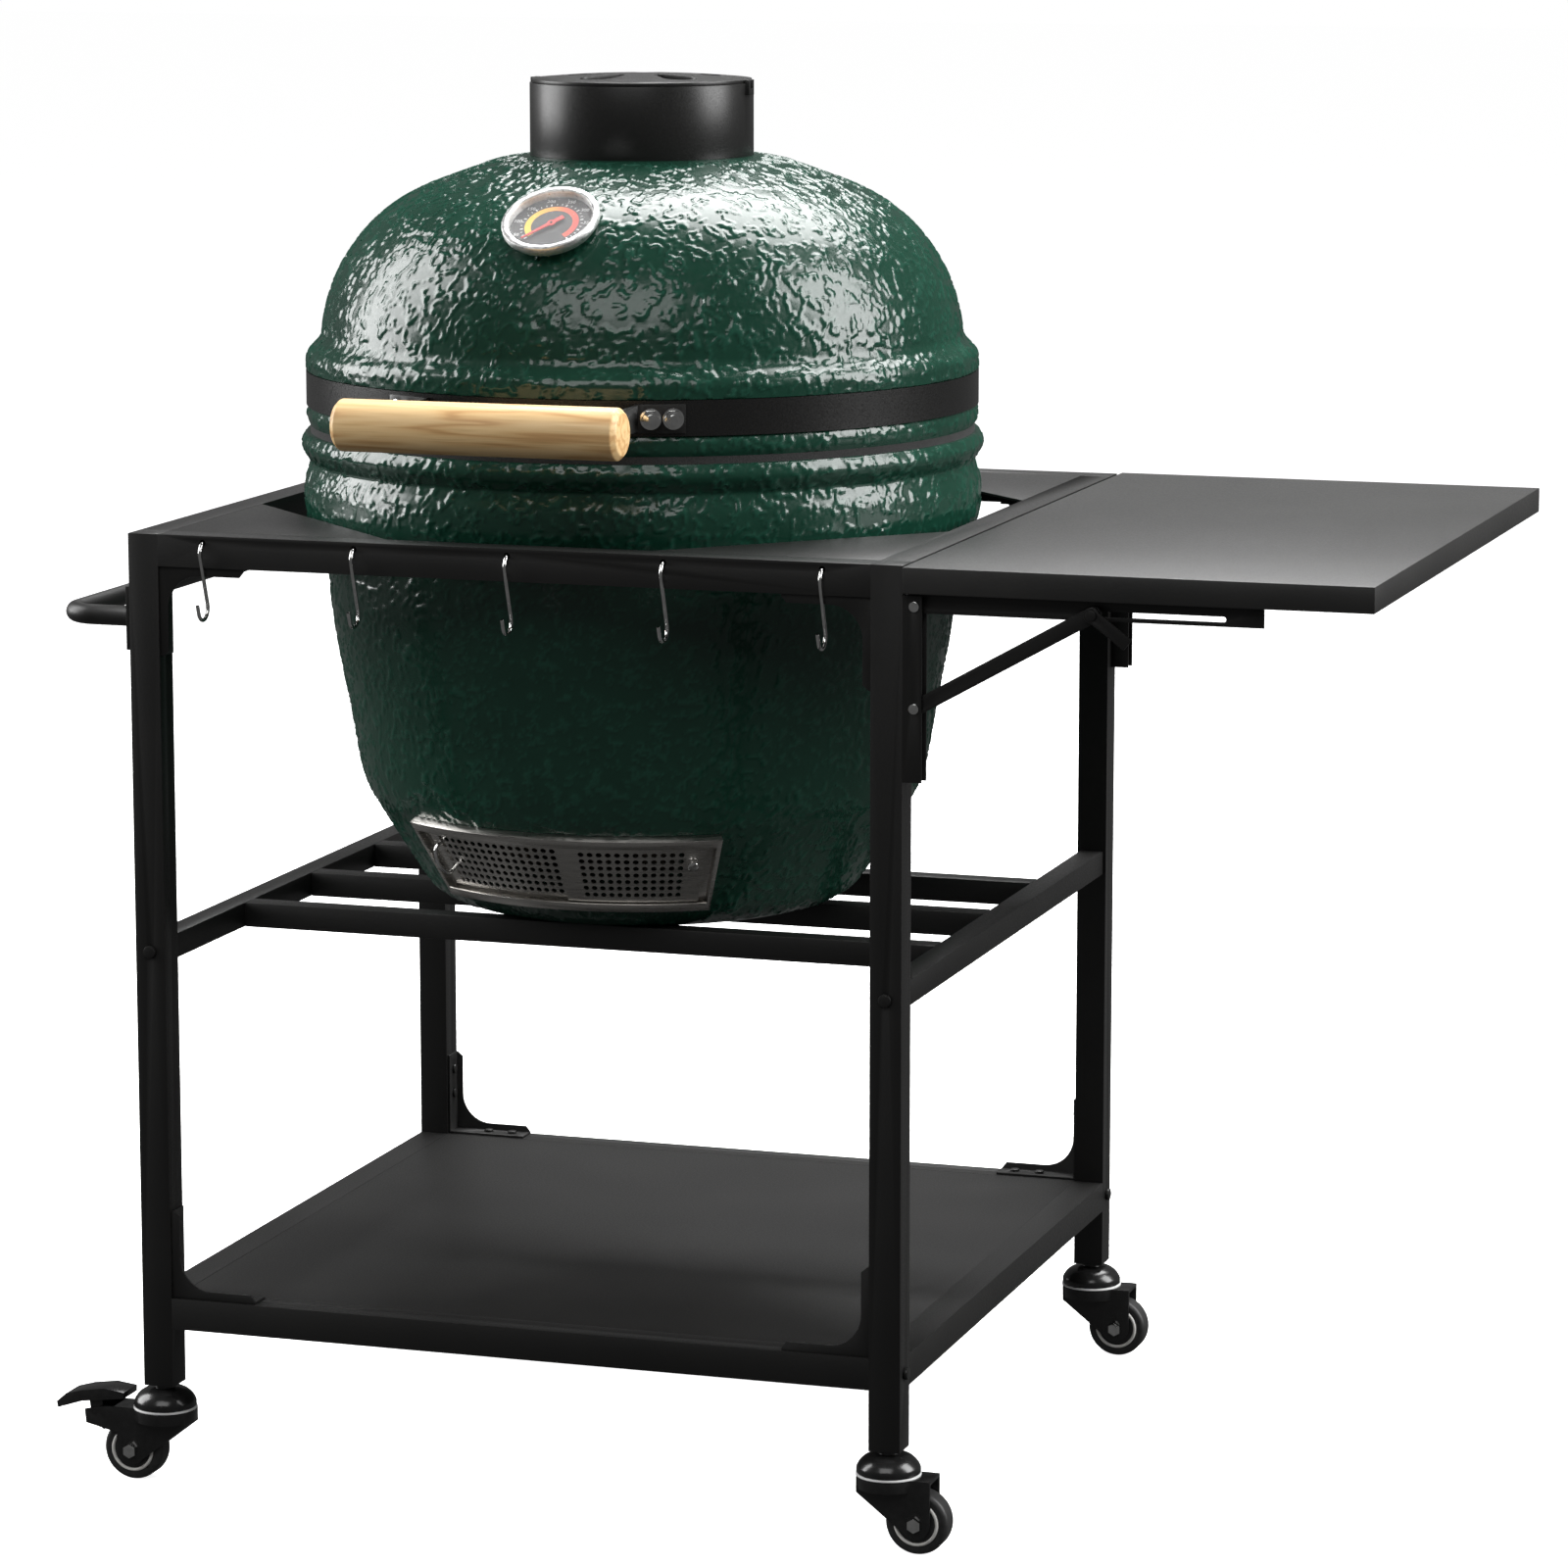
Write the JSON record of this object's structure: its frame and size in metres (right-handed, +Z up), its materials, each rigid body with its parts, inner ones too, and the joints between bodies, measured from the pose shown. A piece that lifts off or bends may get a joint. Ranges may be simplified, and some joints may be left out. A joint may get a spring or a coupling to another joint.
{
  "type": "kamado charcoal grill",
  "caption": "Ceramic kamado charcoal grill with a hinged lid in a square wheeled steel cart, with folding side table, push handle, tool hooks and a lower shelf.",
  "frame": {"origin": "centre of the whole footprint on the floor", "axes": "+Z up, -Y the side with the wooden handle and draft door, +X the side with the folding table"},
  "size_m": [1.067, 0.772, 1.1114],
  "materials": {
    "frame_black": "satin black powder coat",
    "fastener": "bright plated",
    "zinc_steel": "black coated steel",
    "stainless": "brushed",
    "green_glaze": "glossy dark green glaze over raised relief",
    "fire_clay": "matt fired clay",
    "cast_iron": "rough cast",
    "felt": "woven heat seal",
    "pine": "pale varnished wood",
    "dial": "printed dial",
    "glass": "clear",
    "caster_black": "glossy black",
    "tyre": "smooth"
  },
  "bodies": {
    "cart_and_base": {"legs": "frame_black", "top_rails": "frame_black", "corner_plates": "frame_black", "shelf_rails": "frame_black", "shelf_panel": "frame_black", "support_rails": "frame_black", "cross_bars": "frame_black", "corner_gussets": "frame_black", "machine_screws": "fastener", "frame_bolts": "fastener", "push_handle": "frame_black", "bracket_channels": "zinc_steel", "bracket_rivets": "fastener", "caster_stems": "caster_black", "ceramic_base": "green_glaze", "draft_frame": "stainless", "fire_box": "fire_clay", "fire_ring": "fire_clay", "charcoal_grate": "cast_iron", "cooking_grate": "stainless", "base_gasket": "felt", "hinge_base_bracket": "zinc_steel", "hinge_bolts": "fastener", "hinge_pin": "fastener"},
    "lid": {"ceramic_lid": "green_glaze", "lid_gasket": "felt", "upper_band": "stainless", "band_bolts": "fastener", "handle_brackets": "zinc_steel", "wooden_handle": "pine", "chimney_cap": "frame_black", "thermometer_case": "stainless", "thermometer_dial": "dial", "thermometer_glass": "glass", "hinge_lid_bracket": "zinc_steel"},
    "vent_disk": {"vent_disk": "frame_black"},
    "needle": {"thermometer_needle": "stainless"},
    "screen_door": {"screen_door": "stainless"},
    "front_door": {"front_door": "stainless"},
    "side_table": {"side_table_top": "frame_black", "slotted_arms": "zinc_steel"},
    "struts": {"support_struts": "zinc_steel"},
    "slot_pins": {"slot_pins": "fastener"},
    "lever_front": {"release_lever_front": "zinc_steel"},
    "lever_rear": {"release_lever_rear": "zinc_steel"},
    "fork_front_right": {"caster_fork_front_right": "caster_black"},
    "wheel_front_right": {"caster_wheel_front_right": "tyre"},
    "fork_rear_right": {"caster_fork_rear_right": "caster_black"},
    "wheel_rear_right": {"caster_wheel_rear_right": "tyre"},
    "fork_front_left": {"caster_fork_front_left": "caster_black"},
    "wheel_front_left": {"caster_wheel_front_left": "tyre"},
    "fork_rear_left": {"caster_fork_rear_left": "caster_black"},
    "wheel_rear_left": {"caster_wheel_rear_left": "tyre"},
    "pedal_front_left": {"brake_pedal_front_left": "caster_black"},
    "pedal_rear_left": {"brake_pedal_rear_left": "caster_black"},
    "hook_1": {"hook_1": "fastener"},
    "hook_2": {"hook_2": "fastener"},
    "hook_3": {"hook_3": "fastener"},
    "hook_4": {"hook_4": "fastener"},
    "hook_5": {"hook_5": "fastener"}
  },
  "joints": [
    {"name": "lid_hinge", "type": "hinge", "parent": "cart_and_base", "child": "lid", "pos_m": [-0.1415, 0.368, 0.85], "axis": [-1, 0, 0], "range_deg": [0, 75]},
    {"name": "vent_turn", "type": "hinge", "parent": "lid", "child": "vent_disk", "pos_m": [-0.1415, 0.004, 1.1045], "axis": [0, 0, 1], "range_deg": [0, 36]},
    {"name": "needle_turn", "type": "hinge", "parent": "lid", "child": "needle", "pos_m": [-0.1415, -0.203, 0.9997], "axis": [0, 0.5736, -0.8192], "range_deg": [0, 270]},
    {"name": "screen_slide", "type": "hinge", "parent": "cart_and_base", "child": "screen_door", "pos_m": [-0.1415, 0.004, 0.495], "axis": [0, 0, 1], "range_deg": [0, 20]},
    {"name": "front_door_slide", "type": "hinge", "parent": "cart_and_base", "child": "front_door", "pos_m": [-0.1415, 0.004, 0.495], "axis": [0, 0, 1], "range_deg": [-20, 0]},
    {"name": "table_fold", "type": "hinge", "parent": "cart_and_base", "child": "side_table", "pos_m": [0.1825, 0.004, 0.7344], "axis": [0, 1, 0], "range_deg": [0, 90]},
    {"name": "strut_fold", "type": "hinge", "parent": "cart_and_base", "child": "struts", "pos_m": [0.1825, 0.004, 0.6572], "axis": [0, 1, 0], "range_deg": [0, 119.61]},
    {"name": "pin_slide", "type": "slide", "parent": "side_table", "child": "slot_pins", "axis": [1, 0, 0], "range_m": [0, 0.09769]},
    {"name": "lever_front_turn", "type": "hinge", "parent": "struts", "child": "lever_front", "pos_m": [0.32, -0.3125, 0.7344], "axis": [0, -1, 0], "range_deg": [0, 20], "stiffness_Nm_per_rad": 0.02},
    {"name": "lever_rear_turn", "type": "hinge", "parent": "struts", "child": "lever_rear", "pos_m": [0.32, 0.3205, 0.7344], "axis": [0, -1, 0], "range_deg": [0, 20], "stiffness_Nm_per_rad": 0.02},
    {"name": "swivel_front_right", "type": "hinge", "parent": "cart_and_base", "child": "fork_front_right", "pos_m": [0.161, -0.2975, 0.0597], "axis": [0, 0, 1], "continuous": true},
    {"name": "wheel_turn_front_right", "type": "hinge", "parent": "fork_front_right", "child": "wheel_front_right", "pos_m": [0.186, -0.2975, 0.025], "axis": [0, 1, 0], "continuous": true},
    {"name": "swivel_rear_right", "type": "hinge", "parent": "cart_and_base", "child": "fork_rear_right", "pos_m": [0.161, 0.3055, 0.0597], "axis": [0, 0, 1], "continuous": true},
    {"name": "wheel_turn_rear_right", "type": "hinge", "parent": "fork_rear_right", "child": "wheel_rear_right", "pos_m": [0.186, 0.3055, 0.025], "axis": [0, 1, 0], "continuous": true},
    {"name": "swivel_front_left", "type": "hinge", "parent": "cart_and_base", "child": "fork_front_left", "pos_m": [-0.444, -0.2975, 0.0597], "axis": [0, 0, 1], "continuous": true},
    {"name": "wheel_turn_front_left", "type": "hinge", "parent": "fork_front_left", "child": "wheel_front_left", "pos_m": [-0.469, -0.2975, 0.025], "axis": [0, 1, 0], "continuous": true},
    {"name": "swivel_rear_left", "type": "hinge", "parent": "cart_and_base", "child": "fork_rear_left", "pos_m": [-0.444, 0.3055, 0.0597], "axis": [0, 0, 1], "continuous": true},
    {"name": "wheel_turn_rear_left", "type": "hinge", "parent": "fork_rear_left", "child": "wheel_rear_left", "pos_m": [-0.469, 0.3055, 0.025], "axis": [0, 1, 0], "continuous": true},
    {"name": "pedal_press_front_left", "type": "hinge", "parent": "fork_front_left", "child": "pedal_front_left", "pos_m": [-0.4995, -0.2975, 0.054], "axis": [0, -1, 0], "range_deg": [0, 15]},
    {"name": "pedal_press_rear_left", "type": "hinge", "parent": "fork_rear_left", "child": "pedal_rear_left", "pos_m": [-0.4995, 0.3055, 0.054], "axis": [0, -1, 0], "range_deg": [0, 15]},
    {"name": "hook_1_swing", "type": "hinge", "parent": "cart_and_base", "child": "hook_1", "pos_m": [-0.3935, -0.30925, 0.7596], "axis": [-1, 0, 0], "range_deg": [-1, 40]},
    {"name": "hook_2_swing", "type": "hinge", "parent": "cart_and_base", "child": "hook_2", "pos_m": [-0.2675, -0.30925, 0.7596], "axis": [-1, 0, 0], "range_deg": [-1, 40]},
    {"name": "hook_3_swing", "type": "hinge", "parent": "cart_and_base", "child": "hook_3", "pos_m": [-0.1415, -0.30925, 0.7596], "axis": [-1, 0, 0], "range_deg": [-1, 40]},
    {"name": "hook_4_swing", "type": "hinge", "parent": "cart_and_base", "child": "hook_4", "pos_m": [-0.0155, -0.30925, 0.7596], "axis": [-1, 0, 0], "range_deg": [-1, 40]},
    {"name": "hook_5_swing", "type": "hinge", "parent": "cart_and_base", "child": "hook_5", "pos_m": [0.1105, -0.30925, 0.7596], "axis": [-1, 0, 0], "range_deg": [-1, 40]}
  ],
  "couplings": [
    {"joint": "strut_fold", "follows": "table_fold", "ratio": 1.3257},
    {"joint": "pin_slide", "follows": "table_fold", "m_per_rad": 0.062}
  ]
}
